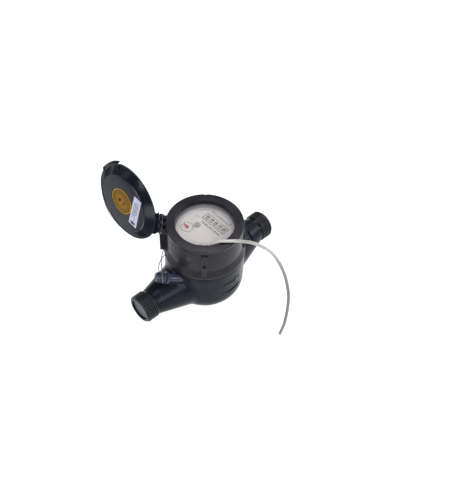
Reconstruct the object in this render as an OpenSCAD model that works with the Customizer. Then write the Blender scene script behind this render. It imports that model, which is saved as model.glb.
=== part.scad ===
// Multi-jet water meter: a bowl with two threaded ends, a measuring chamber with a vane
// wheel, a dry dial behind a lens, a screwed head ring with a hinged lid, a pulse cable.
// Millimetres. The base plane is z = 0, water flows along +X, the dial faces +Z.

/* [Body] */
// Length over both threaded ends
lay_length = 190.5; // [186:0.5:230]
// Height of the pipe axis above the base
pipe_z = 35; // [34:0.5:36]
// Outside diameter of the end threads
thread_d = 32.9; // [31:0.1:36]
// Length of each threaded end
thread_len = 15.5; // [13:0.5:16]
// Diameter of the bores in the ends
port_d = 24.4; // [22:0.1:25]
// Radius of the bowl
bowl_r = 44.5; // [44:0.1:46]
// Radius of the curve under the bowl
bowl_round = 24; // [18:1:24]
// Height of the shoulder under the head ring
shoulder_z = 62.5; // [61:0.1:63]
// Wall of the collar round the chamber
collar_wall = 2.7; // [2.5:0.1:2.9]
// Height of the cavity floor
cavity_z = 10; // [10:0.1:11]

/* [Measuring chamber] */
// Inside radius of the jet basket
basket_r = 28.5; // [27:0.5:29]
// Number of jets in each row
jets = 8; // [4:1:10]
// Radius of the vane wheel
wheel_r = 25.5; // [22:0.5:26]
// Number of vanes
vanes = 8; // [5:1:10]

/* [Register] */
// Height of the register cup above its flange
cup_h = 19.8; // [19.8:0.1:22]
// Thickness of the lens
lens_t = 2.2; // [1.8:0.1:3]
// Thickness of the dial plate
dial_t = 1; // [0.6:0.1:1.4]
// Radius of the number wheels
digit_r = 6.5; // [6:0.1:6.5]
// Pitch of the number wheels
digit_pitch = 6.2; // [6:0.1:6.3]
// Gear module of the movement
gear_m = 0.6; // [0.6:0.01:0.62]

/* [Head ring] */
// Step from the bowl in to the top flange
flange_step = 2.5; // [1.5:0.1:2.7]
// Width of the grey ring seen round the dial
bezel_w = 2.9; // [2.1:0.1:3.5]
// How far the skirt stands out over the bowl
skirt_over = 0.5; // [0.1:0.1:2.5]
// Height of the lip above the lens
lip_h = 5.8; // [5:0.1:7]
// Width of the wrench ribs
rib_w = 6.3; // [5:0.1:8]

/* [Lid] */
// Opening angle shown
lid_open = 126.5; // [90:0.5:126.5]
// Height of the lid
lid_h = 9.6; // [9.6:0.1:12]
// Thickness of the lid's top
lid_top = 1.6; // [1.4:0.1:2]
// Diameter of the hinge pin
pin_d = 2.5; // [2:0.1:2.8]

/* [Cable] */
// Diameter of the pulse cable
cable_d = 3.4; // [3:0.1:3.6]
// Diameter of the seal wire
wire_d = 1; // [0.8:0.1:1.2]

/* [Fits] */
// Radial clearance of turning shafts
run_fit = 0.08; // [0.05:0.01:0.1]
// Clearance of pieces that drop into place
drop_fit = 0.2; // [0.1:0.05:0.3]

/* [Hidden] */
$fn = 64;
half_l = lay_length / 2;
neck_x = half_l - thread_len;
neck_r0 = 14.8;
neck_r1 = 30.1;
neck_x1 = 25;
neck_tilt = atan(3.8 / (neck_x - neck_x1));
// radii from the bowl inwards
collar_r = bowl_r - 5.8;
cavity_r = collar_r - collar_wall;
ring_r = bowl_r - flange_step;
skirt_r = bowl_r + skirt_over;
cup_r = collar_r - 1.7;
cup_low_r = cavity_r - 3.4;
plate_lo_r = cup_low_r - 2;
plate_hi_r = cup_r - 4.5;
dial_r = cup_r - 2.7;
bezel_in = dial_r - bezel_w;
opening_r = bezel_in + 0.8;
sensor_y = opening_r - 3.6;
// levels from the chamber up to the top of the head ring
basket_top = cavity_z + 36;
collar_z = shoulder_z + 11.5;
gasket_t = 1;
flange_z = collar_z + gasket_t;
flange_t = 3;
cup_z = flange_z + flange_t;
lens_z = cup_z + cup_h;
lens_top = lens_z + lens_t;
seal_t = 0.6;
lip_z = lens_top + seal_t;
ring_top = lip_z + lip_h;
ring_in = collar_r + drop_fit;
ring_wall = ring_in + 2.4;
skirt_z = shoulder_z + 1.5;
dial_top = lens_z - 2.8;
dial_z = dial_top - dial_t;
dish_z = shoulder_z - 4.5;
cup_floor = dish_z + 3.3;
dish_in = cup_low_r + 2 * drop_fit;
// hinge frame: X outward at hinge_az, Y along the pin
hinge_az = 137;
hinge_x = ring_r + 4.6;
hinge_z = ring_top - 3.4;
knuckle_r = 2.7;
knuckle_w = 4.7;
lid_z = ring_top + 0.1;
lid_r = ring_r + 0.1;
lid_floor_r = lid_r - 10.9;
lid_in = lid_z + lid_h - lid_top;
// movement positions seen from above
pinion_n = 10;
star_n = 24;
star_pinion_n = 8;
hand_n = 30;
drive_n = 27;
worm_n = 36;
star_dir = 101.3;
hand_dir = 149.9;
star_at = gear_m * (pinion_n + star_n) / 2 * [cos(star_dir), sin(star_dir)];
hand_at = star_at + gear_m * (star_pinion_n + hand_n) / 2 * [cos(hand_dir), sin(hand_dir)];
worm_dir = -72.5;
worm_at = gear_m * (drive_n + worm_n) / 2 * [cos(worm_dir), sin(worm_dir)];
plate_lo = collar_z - 5;
plate_hi = plate_lo + 10.5;
plate_t = 1.5;
mesh_a = plate_lo + 2.2;
mesh_b = mesh_a + 3.4;
mesh_c = mesh_a + 6.2;
mesh_t = 1.8;
axle_x = 13.7;
axle_z = dial_z - digit_r - 0.6;
digit_y = -1.8;
transfer_x = axle_x + 7.5;
transfer_z = axle_z - 1;
// regulator axis: root point, heading and rise
reg_at = round_bowl([1.09, 189.98, shoulder_z - 5.9]);
reg_az = 153;
reg_rise = 19.7;
reg_bore = 2.6;
c_body = [0.14, 0.15, 0.18];
c_ring = [0.2, 0.19, 0.2];
c_white = [0.86, 0.86, 0.84];
c_grey = [0.6, 0.62, 0.64];
c_steel = [0.72, 0.73, 0.75];
c_brass = [0.76, 0.6, 0.3];
c_dark = [0.1, 0.1, 0.11];
// Which piece to draw

// route of the pulse cable from the sensor over the head ring and down to the floor
cable_route = [
    [-16.58, -23.645, 102.1], [-15.629, -24.531, 102.1], [-14.678, -25.418, 102.1], [-10, -28.4, 106.8],
    [-6.3, -32.4, 109], [-1.3, -36.6, 108.6], [3.9, -41.3, 109], [6.7, -48.6, 112.5], [8.1, -65.5, 122.5],
    [10.6, -86.3, 125], [12.6, -102.2, 109], [13.7, -111.7, 83], [14, -114.1, 58],
    [13.9, -113.6, 27], [13.5, -110.2, 3]];
// route of the seal wire from the plug up through the skirt and back: distance beyond the bowl,
// azimuth and height above the shoulder
wire_points = [
    [17.17, 177.3, 1.2], [15.26, 172.89, 1.2], [12.13, 166.21, 0.9], [6.58, 156.95, -0.5], [1.64, 150.1, -0.7],
    [-1.31, 149.99, 2], [-1.31, 149.99, 7], [0.91, 150.44, 10.5], [5.48, 160.11, 11], [12.76, 174.49, 10],
    [19.07, 182.7, 8], [22.49, 186.17, 3.7], [21.3, 184.45, 1.2], [18.9, 180.63, 1.2]];
wire_route = [for (p = wire_points) round_bowl(p + [0, 0, shoulder_z])];

function unit(v) = v / norm(v);
// place given as distance beyond the bowl, azimuth and height
function round_bowl(p) = [(bowl_r + p[0]) * cos(p[1]), (bowl_r + p[0]) * sin(p[1]), p[2]];
function blend(a, b, c, d, t) =
    0.5 * (2 * b + (c - a) * t + (2 * a - 5 * b + 4 * c - d) * t * t + (3 * b - a - 3 * c + d) * t * t * t);
function smooth(p, n) = concat([for (i = [0:len(p) - 2]) for (k = [0:n - 1])
    blend(p[max(i - 1, 0)], p[i], p[i + 1], p[min(i + 2, len(p) - 1)], k / n)], [p[len(p) - 1]]);
function arc(cx, cz, r, a0, a1, n = 6) =
    [for (i = [0:n]) [cx + r * cos(a0 + (a1 - a0) * i / n), cz + r * sin(a0 + (a1 - a0) * i / n)]];
function tooth_ring(n, m) = [for (i = [0:n - 1]) for (q = [[-0.31, -0.9], [-0.1, 0.5], [0.1, 0.5], [0.31, -0.9]])
    (m * n / 2 + q[1] * m) * [cos((i + q[0]) * 360 / n), sin((i + q[0]) * 360 / n)]];

module disc(r, z0, z1) {
    translate([0, 0, z0]) cylinder(r = r, h = z1 - z0);
}
module tube(ro, ri, z0, z1) {
    difference() {
        disc(ro, z0, z1);
        disc(ri, z0 - 1, z1 + 1);
    }
}
module gear(n, z0, z1, turn) {
    translate([0, 0, z0]) rotate([0, 0, turn]) linear_extrude(z1 - z0) polygon(tooth_ring(n, gear_m));
}
module along_y(r, y0, y1) {
    translate([0, y1, 0]) rotate([90, 0, 0]) cylinder(r = r, h = y1 - y0);
}
module at_hinge() {
    rotate([0, 0, hinge_az]) children();
}
module at_regulator() {
    translate(reg_at) rotate([0, 0, reg_az]) rotate([0, 90 - reg_rise, 0]) children();
}
module swept(p, r, sides, ref) {
    n = len(p);
    tan = [for (i = [0:n - 1]) unit(p[min(i + 1, n - 1)] - p[max(i - 1, 0)])];
    pts = [for (i = [0:n - 1]) let (s = unit(cross(tan[i], ref)), u = cross(tan[i], s)) for (k = [0:sides - 1])
        p[i] + r * cos(360 * k / sides) * s + r * sin(360 * k / sides) * u];
    wall = [for (i = [0:n - 2]) for (k = [0:sides - 1]) let (a = i * sides + k, b = i * sides + (k + 1) % sides)
        for (f = [[a, a + sides, b + sides], [a, b + sides, b]]) f];
    ends = [[for (k = [0:sides - 1]) k], [for (k = [sides - 1:-1:0]) (n - 1) * sides + k]];
    polyhedron(points = pts, faces = concat(wall, ends));
}

// one end of the body: plain thread cylinder and the flared neck
module body_end() {
    translate([neck_x, 0, pipe_z]) rotate([0, 90, 0]) cylinder(r = thread_d / 2, h = thread_len - 1);
    translate([half_l - 1, 0, pipe_z]) rotate([0, 90, 0]) cylinder(r1 = thread_d / 2, r2 = thread_d / 2 - 1, h = 1);
    translate([neck_x + 0.5, 0, pipe_z]) rotate([0, -90 - neck_tilt, 0])
        cylinder(r1 = neck_r0, r2 = neck_r1, h = (neck_x - neck_x1) / cos(neck_tilt));
}
module meter_body() {
    color(c_body) difference() {
        union() {
            rotate_extrude() {
                square([bowl_r - bowl_round, shoulder_z]);
                translate([0, bowl_round]) square([bowl_r, shoulder_z - 1.2 - bowl_round]);
                translate([0, shoulder_z - 1.2]) polygon([[0, 0], [bowl_r, 0], [bowl_r - 1.2, 1.2], [0, 1.2]]);
                intersection() {
                    translate([bowl_r - bowl_round, bowl_round]) circle(r = bowl_round);
                    square([bowl_r, bowl_round]);
                }
            }
            disc(collar_r, shoulder_z - 1, collar_z);
            body_end();
            mirror([1, 0, 0]) body_end();
            at_regulator() translate([0, 0, -14]) cylinder(r = 4.6, h = 26);
        }
        disc(cavity_r, cavity_z, collar_z + 1);
        for (s = [-1, 1])
            translate([s * (half_l + 1), 0, pipe_z]) rotate([0, -90 * s, 0]) cylinder(r = port_d / 2, h = thread_len + 2);
        translate([-neck_x, 0, pipe_z]) rotate([0, 90 + 17, 0]) cylinder(r = 9, h = neck_x - 28);
        translate([neck_x, 0, pipe_z]) rotate([0, -90 + 12, 0]) cylinder(r = 9, h = neck_x - 28);
        at_regulator() translate([0, 0, -12]) cylinder(r = reg_bore, h = 30);
        // pocket in the outlet neck beside the head ring
        translate([58.5, -13, 50]) rotate([38, 0, 0]) cube([6, 12, 6], center = true);
    }
}
module inlet_strainer() {
    r = port_d / 2 - drop_fit;
    color(c_white) translate([-half_l + 2.2, 0, pipe_z]) rotate([0, 90, 0]) {
        difference() {
            cylinder(r = r, h = 12);
            translate([0, 0, 1.4]) cylinder(r = r - 1.6, h = 12);
            for (i = [-6:6])
                for (j = [-4:4])
                    if (norm([2.2 * i + 1.1 * j, 1.9 * j]) < 8.6)
                        translate([2.2 * i + 1.1 * j, 1.9 * j, -1]) cylinder(r = 0.45, h = 4, $fn = 16);
        }
    }
}
// lower housing of the measuring chamber with a row of inlet and a row of outlet jets
module jet_basket() {
    color(c_white) difference() {
        union() {
            disc(basket_r + 3, cavity_z, basket_top);
            disc(cavity_r - drop_fit, cavity_z + 21, cavity_z + 23);
        }
        disc(basket_r, cavity_z + 3, basket_top + 1);
        disc(1.2, cavity_z + 1.5, cavity_z + 4);
        for (i = [0:jets - 1])
            rotate([0, 0, i * 360 / jets]) {
                translate([basket_r - 3, -2, cavity_z + 6]) rotate([0, 0, 28]) cube([14, 4, 6]);
                translate([basket_r - 3, -2, cavity_z + 26]) rotate([0, 0, -28]) cube([14, 4, 7]);
            }
    }
}
module pivot_pin() {
    color(c_steel) disc(1.2, cavity_z + 1.5, cavity_z + 10);
}
module vane_wheel() {
    color(c_grey) difference() {
        union() {
            disc(5, cavity_z + 5, basket_top - 5);
            disc(2.5, basket_top - 6, dish_z - 2);
            for (i = [0:vanes - 1])
                rotate([0, 0, i * 360 / vanes]) translate([4, -0.8, cavity_z + 7]) cube([wheel_r - 4, 1.6, basket_top - cavity_z - 15]);
        }
        disc(1.2 + run_fit, cavity_z + 4, cavity_z + 11.5);
    }
}
module pivot_jewel() {
    color([0.6, 0.1, 0.2]) disc(1.2 + run_fit, cavity_z + 10.2, cavity_z + 11.5);
}
module wheel_magnet() {
    color(c_dark) tube(9, 2.5, dish_z - 7, dish_z - 2);
}
module chamber_cover() {
    color(c_white) difference() {
        union() {
            disc(basket_r + 3, basket_top, basket_top + 3);
            disc(basket_r - drop_fit, basket_top - 1.5, basket_top);
            disc(6, basket_top - 3, basket_top + 4);
            for (i = [0:2])
                rotate([0, 0, 30 + 120 * i]) translate([23, 0, 0]) disc(2.5, basket_top + 2, dish_z);
        }
        disc(2.5 + run_fit, basket_top - 6, dish_z + 2);
    }
}
// dished plate between the wet chamber and the dry register
module pressure_plate() {
    color(c_grey) difference() {
        union() {
            disc(cavity_r - drop_fit, dish_z, flange_z + 1);
            disc(collar_r - drop_fit, flange_z, cup_z);
        }
        disc(dish_in, cup_floor, cup_z + 1);
    }
}
module plate_gasket() {
    color(c_dark) tube(collar_r - drop_fit, cavity_r, collar_z, flange_z);
}
module register_cup() {
    color(c_grey) difference() {
        union() {
            disc(cup_low_r, cup_floor, cup_z + 1);
            disc(cup_r, cup_z, lens_z);
        }
        disc(plate_lo_r - 1.6, cup_floor + 1.7, plate_lo + 1);
        disc(plate_lo_r, plate_lo, plate_hi + 1);
        disc(plate_hi_r, plate_hi, dial_z + 1);
        disc(dial_r + drop_fit, dial_z, lens_z + 1);
    }
}
module driven_magnet() {
    color(c_dark) tube(9, 1, cup_floor + 2.7, plate_lo - 1);
}
module drive_pinion() {
    color(c_brass) {
        disc(1, cup_floor + 2.1, plate_hi + 1);
        gear(pinion_n, mesh_a, mesh_a + mesh_t, star_dir);
        gear(drive_n, mesh_c, mesh_c + mesh_t, worm_dir);
    }
}
module lower_plate() {
    color(c_brass) difference() {
        disc(plate_lo_r - drop_fit, plate_lo, plate_lo + plate_t);
        disc(1 + run_fit, plate_lo - 1, plate_lo + 3);
        for (p = [star_at, hand_at, worm_at])
            translate([p[0], p[1], 0]) disc(0.9 + run_fit, plate_lo - 1, plate_lo + 3);
    }
}
// upper plate with the two cheeks that carry the number wheels
module upper_plate() {
    y0 = digit_y - 2.5 * digit_pitch - 4.4;
    y1 = digit_y + 2.5 * digit_pitch + 0.6;
    color(c_brass) difference() {
        union() {
            disc(plate_hi_r - drop_fit, plate_hi, plate_hi + plate_t);
            for (y = [y0 - 1.5, y1])
                translate([axle_x - 6, y, plate_hi]) cube([15.5, 1.5, axle_z + 3.5 - plate_hi]);
        }
        translate([axle_x - 4.5, y0, plate_hi - 1]) cube([9, y1 - y0, 4]);
        disc(1 + run_fit, plate_hi - 1, plate_hi + 3);
        for (p = [star_at, hand_at, worm_at])
            translate([p[0], p[1], 0]) disc(0.9 + run_fit, plate_hi - 1, plate_hi + 3);
        translate([axle_x, 0, axle_z]) along_y(1.2, y0 - 3, y1 + 3);
        translate([transfer_x, 0, transfer_z]) along_y(0.8, y0 - 3, y1 + 3);
    }
}
module star_gear() {
    color(c_white) translate([star_at[0], star_at[1], 0]) {
        disc(0.9, plate_lo - 0.6, dial_top + 0.6);
        gear(star_n, mesh_a, mesh_a + mesh_t, star_dir + 180 + 180 / star_n);
        gear(star_pinion_n, mesh_b, mesh_b + mesh_t, hand_dir);
    }
}
module flow_star() {
    color(c_steel) translate([star_at[0], star_at[1], dial_top + 0.4]) difference() {
        linear_extrude(1.2) polygon([for (i = [0:15]) (i % 2 == 0 ? 4 : 2.7) * [cos(22.5 * i), sin(22.5 * i)]]);
        translate([0, 0, -1]) cylinder(r = 0.9, h = 1.2);
    }
}
module hand_gear() {
    color(c_white) translate([hand_at[0], hand_at[1], 0]) {
        disc(0.9, plate_lo - 0.6, dial_top + 0.6);
        gear(hand_n, mesh_b, mesh_b + mesh_t, hand_dir + 180 + 180 / hand_n);
    }
}
module red_hand() {
    color([0.75, 0.05, 0.1]) translate([hand_at[0], hand_at[1], dial_top + 0.4]) difference() {
        union() {
            cylinder(r = 1.7, h = 1);
            linear_extrude(0.8) polygon([[-0.9, -2.6], [0.9, -2.6], [0.7, 4.2], [0, 5.2], [-0.7, 4.2]]);
        }
        translate([0, 0, -1]) cylinder(r = 0.9, h = 1.2);
    }
}
// gear with the upright worm beside the fastest number wheel
module worm_gear() {
    color(c_white) translate([worm_at[0], worm_at[1], 0]) {
        disc(0.9, plate_lo - 0.6, dial_z - 1);
        gear(worm_n, mesh_c, mesh_c + mesh_t, worm_dir + 180 + 180 / worm_n);
        for (i = [0:5])
            translate([0, 0, axle_z - 4.5 + 1.5 * i]) cylinder(r1 = 2.1, r2 = 1.5, h = 1);
        disc(1.5, plate_hi + plate_t + 0.3, dial_z - 1);
    }
}
// one number wheel, drum centred on its own digit window
module number_wheel(i) {
    y = digit_y + (3 - i) * digit_pitch;
    hub = (digit_pitch - 0.4) / 2;
    color(c_dark) translate([axle_x, y, axle_z]) difference() {
        union() {
            along_y(digit_r, -1.9, 1.9);
            along_y(2.6, -hub, hub);
            translate([0, hub, 0]) rotate([90, 0, 0]) linear_extrude(0.8) polygon(tooth_ring(20, 0.48));
            along_y(4.2, -hub, -hub + 0.8);
        }
        along_y(1.2 + run_fit, -10, 10);
    }
    if (i == 5)
        color(c_white) translate([axle_x, y - hub - 0.6, axle_z]) difference() {
            rotate([90, 0, 0]) linear_extrude(2) polygon(tooth_ring(20, 0.48));
            along_y(1.2 + run_fit, -10, 10);
        }
    if (i == 5)
        color(c_white) translate([axle_x, y - hub, axle_z]) difference() {
            along_y(2.6, -0.7, 0.1);
            along_y(1.2 + run_fit, -10, 10);
        }
}
module number_wheel_1() {
    number_wheel(1);
}
module number_wheel_2() {
    number_wheel(2);
}
module number_wheel_3() {
    number_wheel(3);
}
module number_wheel_4() {
    number_wheel(4);
}
module number_wheel_5() {
    number_wheel(5);
}
module wheel_axle() {
    color(c_steel) translate([axle_x, 0, axle_z])
        along_y(1.2, digit_y - 2.5 * digit_pitch - 5.9, digit_y + 2.5 * digit_pitch + 2.1);
}
module transfer_axle() {
    color(c_steel) translate([transfer_x, 0, transfer_z])
        along_y(0.8, digit_y - 2.5 * digit_pitch - 5.9, digit_y + 2.5 * digit_pitch + 2.1);
}
module transfer_pinion(i) {
    color(c_white) translate([transfer_x, digit_y + (2.5 - i) * digit_pitch, transfer_z]) difference() {
        translate([0, 0.9, 0]) rotate([90, 0, 0]) linear_extrude(1.8) polygon(tooth_ring(8, 0.42));
        along_y(0.8 + run_fit, -5, 5);
    }
}
module transfer_pinion_1() {
    transfer_pinion(1);
}
module transfer_pinion_2() {
    transfer_pinion(2);
}
module transfer_pinion_3() {
    transfer_pinion(3);
}
module transfer_pinion_4() {
    transfer_pinion(4);
}
module dial_plate() {
    color(c_white) difference() {
        disc(dial_r, dial_z, dial_top);
        for (i = [1:5])
            translate([axle_x - 3.2, digit_y + (3 - i) * digit_pitch - 2.3, dial_z - 1]) cube([6.4, 4.6, dial_t + 2]);
        for (p = [star_at, hand_at])
            translate([p[0], p[1], 0]) disc(1.3, dial_z - 1, dial_top + 1);
    }
}
module dial_bezel() {
    color(c_grey) tube(dial_r, bezel_in, dial_top, lens_z - 0.8);
}
module lens() {
    color([0.8, 0.88, 0.9, 0.35]) disc(cup_r - drop_fit, lens_z, lens_top);
}
module lens_seal() {
    color(c_dark) tube(cup_r - drop_fit, opening_r + 1, lens_top, lip_z);
}
// screwed ring: skirt, wall, undercut and top flange, wrench ribs, hinge knuckles
module head_ring() {
    color(c_ring) difference() {
        union() {
            rotate_extrude() polygon([[ring_in, skirt_z], [skirt_r, skirt_z], [skirt_r, skirt_z + 2.6],
                [ring_wall, skirt_z + 10], [ring_wall, ring_top - 5.4], [ring_wall - 0.9, ring_top - 5],
                [ring_wall - 0.9, ring_top - 4], [ring_r, ring_top - 3.6], [ring_r, ring_top - 0.6],
                [ring_r - 0.6, ring_top], [opening_r, ring_top], [opening_r, ring_top - 1],
                [opening_r + 0.9, ring_top - 1.2], [opening_r + 0.9, ring_top - 1.9], [opening_r, ring_top - 2.1],
                [opening_r, ring_top - 2.9], [opening_r + 0.9, ring_top - 3.1], [opening_r + 0.9, ring_top - 3.7],
                [opening_r, ring_top - 3.9], [opening_r, lip_z], [ring_in, lip_z]]);
            for (a = [90, 180, 270])
                at_hinge() rotate([0, 0, a]) translate([ring_wall - 1.2, -rib_w / 2, skirt_z + 1])
                    cube([skirt_r - 0.8 - ring_wall + 1.2, rib_w, ring_top - 7 - skirt_z]);
            at_hinge() {
                translate([ring_wall - 1.2, -5, skirt_z + 2]) cube([hinge_x + 2.2 - ring_wall + 1.2, 10, hinge_z - 5.1 - skirt_z]);
                translate([hinge_x + 2.1, -5, hinge_z - 8]) cube([2.3, 10, 5.9]);
                for (y = [-10, 0, 10])
                    translate([0, y, 0]) {
                        translate([hinge_x, 0, hinge_z]) along_y(knuckle_r, -knuckle_w / 2, knuckle_w / 2);
                        translate([ring_in + 0.5 - abs(y) / 10, -knuckle_w / 2, hinge_z - 3.6])
                            cube([hinge_x - ring_in - 0.5 + abs(y) / 10, knuckle_w, 3.8]);
                    }
            }
        }
        at_hinge() {
            translate([hinge_x, 0, hinge_z]) along_y(pin_d / 2, -20, 20);
            // slot in the upper half of the front rib
            rotate([0, 0, 90]) translate([skirt_r - 2.6, 0, ring_top - 22]) {
                translate([0, -1.8, 0]) cube([4, 3.6, 20]);
                rotate([0, 90, 0]) cylinder(r = 1.8, h = 4);
            }
        }
        // sighting notch at the back of the top flange
        at_hinge() rotate([0, 0, 270]) translate([ring_r - 2.2, -1.7, ring_top - 1.2]) cube([4, 3.4, 3]);
        rotate([0, 0, 150]) translate([skirt_r - 1.8, 0, 0]) disc(wire_d / 2 + 0.4, skirt_z - 1, skirt_z + 9);
    }
}
module hinge_pin() {
    color(c_steel) at_hinge() translate([hinge_x, 0, hinge_z]) along_y(pin_d / 2, -13, 13);
}
// moves lid pieces drawn closed to the opening angle
module opened() {
    at_hinge() translate([hinge_x, 0, hinge_z]) rotate([0, lid_open, 0]) translate([-hinge_x, 0, -hinge_z]) children();
}
module lid() {
    h = lid_h;
    color(c_body) opened() difference() {
        union() {
            // flat floor, sloping wall and short upright rim
            translate([0, 0, lid_z]) rotate_extrude() polygon([[0, h - lid_top], [lid_floor_r, h - lid_top],
                [lid_floor_r + 1.2, h - lid_top - 0.5], [lid_r - 2.8, 0.9], [lid_r - 2.2, 0], [lid_r, 0],
                [lid_r, 1.4], [lid_floor_r + 1.4, h - 0.7], [lid_floor_r - 0.4, h], [0, h]]);
            // finger tab that drops outside the ring's flange
            translate([0, 0, lid_z]) rotate([0, 0, 198]) rotate_extrude(angle = 40)
                polygon([[ring_r + 0.4, -2.2], [ring_r + 1.7, -2.2], [ring_r + 1.9, 1.2], [ring_r - 1.5, 3.6],
                    [lid_r - 3.6, 3.6], [lid_r - 1.6, 0.3], [ring_r + 0.4, 0.3]]);
            // hinge leaf along the rim
            translate([0, 14, 0]) rotate([90, 0, 0]) linear_extrude(28)
                polygon([[ring_r + 0.5, hinge_z + 0.6], [hinge_x - 3.1, hinge_z + 0.6], [hinge_x - 3.1, lid_z + 2.5],
                    [ring_r - 2.4, lid_z + 3.6], [ring_r - 3.4, lid_z + 3.6], [ring_r - 1.7, lid_z + 0.3],
                    [ring_r + 0.5, lid_z + 0.3]]);
            for (y = [-5, 5])
                translate([0, y, 0]) {
                    translate([hinge_x, 0, hinge_z]) along_y(knuckle_r, -knuckle_w / 2, knuckle_w / 2);
                    translate([0, knuckle_w / 2, 0]) rotate([90, 0, 0]) linear_extrude(knuckle_w)
                        polygon([[ring_r + 0.5, hinge_z], [hinge_x, hinge_z], [hinge_x, hinge_z + 2.7],
                            [hinge_x - 2.6, lid_z + 4], [lid_r - 1.6, lid_z + 4], [lid_r - 1.6, lid_z + 0.3],
                            [ring_r + 0.5, lid_z + 0.3]]);
                }
        }
        translate([hinge_x, 0, hinge_z]) along_y(pin_d / 2 + run_fit, -20, 20);
        for (a = [196, 240])
            rotate([0, 0, a]) translate([lid_r - 6, -1.1, lid_z - 5]) cube([12, 2.2, 12.5]);
        // notch that lets the cable out
        rotate([0, 0, 134]) translate([lid_r - 9, -5.5, lid_z - 1]) cube([14, 11, 6.2]);
    }
}
module lid_badge() {
    color([0.72, 0.55, 0.2]) opened() translate([-3.8, 0.1, lid_in - 0.25]) cylinder(r = 14.5, h = 0.25);
}
module lid_label() {
    color(c_white) opened() translate([16.8, -0.4, lid_in - 0.5]) rotate([0, 0, 6.5])
        translate([-5.6, -20, 0]) cube([11.2, 40, 0.5]);
}
module regulator_plug() {
    color(c_body) at_regulator() difference() {
        union() {
            translate([0, 0, -8]) cylinder(r = reg_bore - run_fit, h = 22);
            translate([0, 0, 13]) cylinder(r = 7, h = 2.6);
            translate([0, 0, 15.4]) cylinder(r = 4.6, h = 3);
            translate([0, 0, 17]) cylinder(r = 5.6, h = 8.5);
            translate([0, 0, 25.5]) cylinder(r1 = 5.6, r2 = 4.6, h = 1.2);
        }
        translate([0, 0, 21]) along_y(wire_d / 2 + 0.4, -9, 9);
        translate([-7, -0.9, 24.5]) cube([14, 1.8, 4]);
    }
}
module plug_washer() {
    color(c_dark) at_regulator() tube(4.6, reg_bore, 12, 13);
}
module seal_wire() {
    color(c_steel) swept(smooth(wire_route, 3), wire_d / 2, 8, [-0.75, 0.66, 0]);
}
// reed switch capsule lying on the lens by the front of the opening
module pulse_sensor() {
    color(c_grey) at_hinge() translate([-4, sensor_y, lens_top]) {
        translate([0, -2.6, 0]) cube([10, 5.2, 2.1]);
        translate([0, 0, 2.1]) rotate([0, 90, 0]) cylinder(r = 2.1, h = 10);
    }
}
module pulse_cable() {
    color(c_grey) swept(smooth(cable_route, 3), cable_d / 2, 8, [1, 0.1, 0]);
}

meter_body();
inlet_strainer();
jet_basket();
pivot_pin();
vane_wheel();
pivot_jewel();
wheel_magnet();
chamber_cover();
pressure_plate();
plate_gasket();
register_cup();
driven_magnet();
drive_pinion();
lower_plate();
upper_plate();
star_gear();
flow_star();
hand_gear();
red_hand();
worm_gear();
number_wheel_1();
number_wheel_2();
number_wheel_3();
number_wheel_4();
number_wheel_5();
wheel_axle();
transfer_axle();
transfer_pinion_1();
transfer_pinion_2();
transfer_pinion_3();
transfer_pinion_4();
dial_plate();
dial_bezel();
lens();
lens_seal();
head_ring();
hinge_pin();
lid();
lid_badge();
lid_label();
regulator_plug();
plug_washer();
seal_wire();
pulse_sensor();
pulse_cable();
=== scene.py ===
"""Looks of a multi-jet water meter with its lid open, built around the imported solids."""

import logging
import math
from dataclasses import dataclass
from enum import Enum
from typing import Callable, Iterable, Sequence, Union

import bmesh
import bpy
from mathutils import Matrix, Vector


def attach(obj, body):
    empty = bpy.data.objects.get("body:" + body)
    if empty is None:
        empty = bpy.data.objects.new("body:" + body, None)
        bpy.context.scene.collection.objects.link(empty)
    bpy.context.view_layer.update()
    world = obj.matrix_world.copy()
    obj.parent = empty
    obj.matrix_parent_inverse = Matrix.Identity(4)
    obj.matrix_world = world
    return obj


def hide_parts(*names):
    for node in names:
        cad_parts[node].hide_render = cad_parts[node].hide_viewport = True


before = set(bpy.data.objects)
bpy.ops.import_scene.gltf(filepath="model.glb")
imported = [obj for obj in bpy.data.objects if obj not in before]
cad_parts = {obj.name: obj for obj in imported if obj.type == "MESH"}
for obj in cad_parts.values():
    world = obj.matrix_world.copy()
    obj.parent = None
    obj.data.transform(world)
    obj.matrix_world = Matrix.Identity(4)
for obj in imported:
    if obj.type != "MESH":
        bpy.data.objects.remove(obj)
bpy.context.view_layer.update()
LOG = logging.getLogger("water_meter")
MM = 0.001
PIPE_Z = 0.035
HINGE_AZ = 137.0
HINGE_X = 46.6
PRINT = (-0.02, 0.05)
FOIL_PRINT = (-0.06, 0.02)
FINE_RELIEF = 0.0002
CAD_WELD = 2e-6
SKIN_WELD = 1e-7
FLAT_ANGLE = math.radians(0.6)
FULL_TURN = 2 * math.pi
UPRIGHT = Matrix.Identity(4)

Number = Union[int, float]
Triple = tuple[float, float, float]
Pair = tuple[float, float]
Object = bpy.types.Object
Build = bmesh.types.BMesh
Put = Callable[[float, float, float], Vector]


def srgb(red: Number, green: Number, blue: Number) -> Triple:
    """Turns display values from 0 to 255 into the linear colour that a shader takes.

    Args:
        red: display red.
        green: display green.
        blue: display blue.

    Returns:
        The linear colour.
    """
    def linear(value: Number) -> float:
        """One channel."""
        share = value / 255
        return share / 12.92 if share <= 0.04045 else ((share + 0.055) / 1.055) ** 2.4
    return linear(red), linear(green), linear(blue)


# Shader maths


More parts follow.
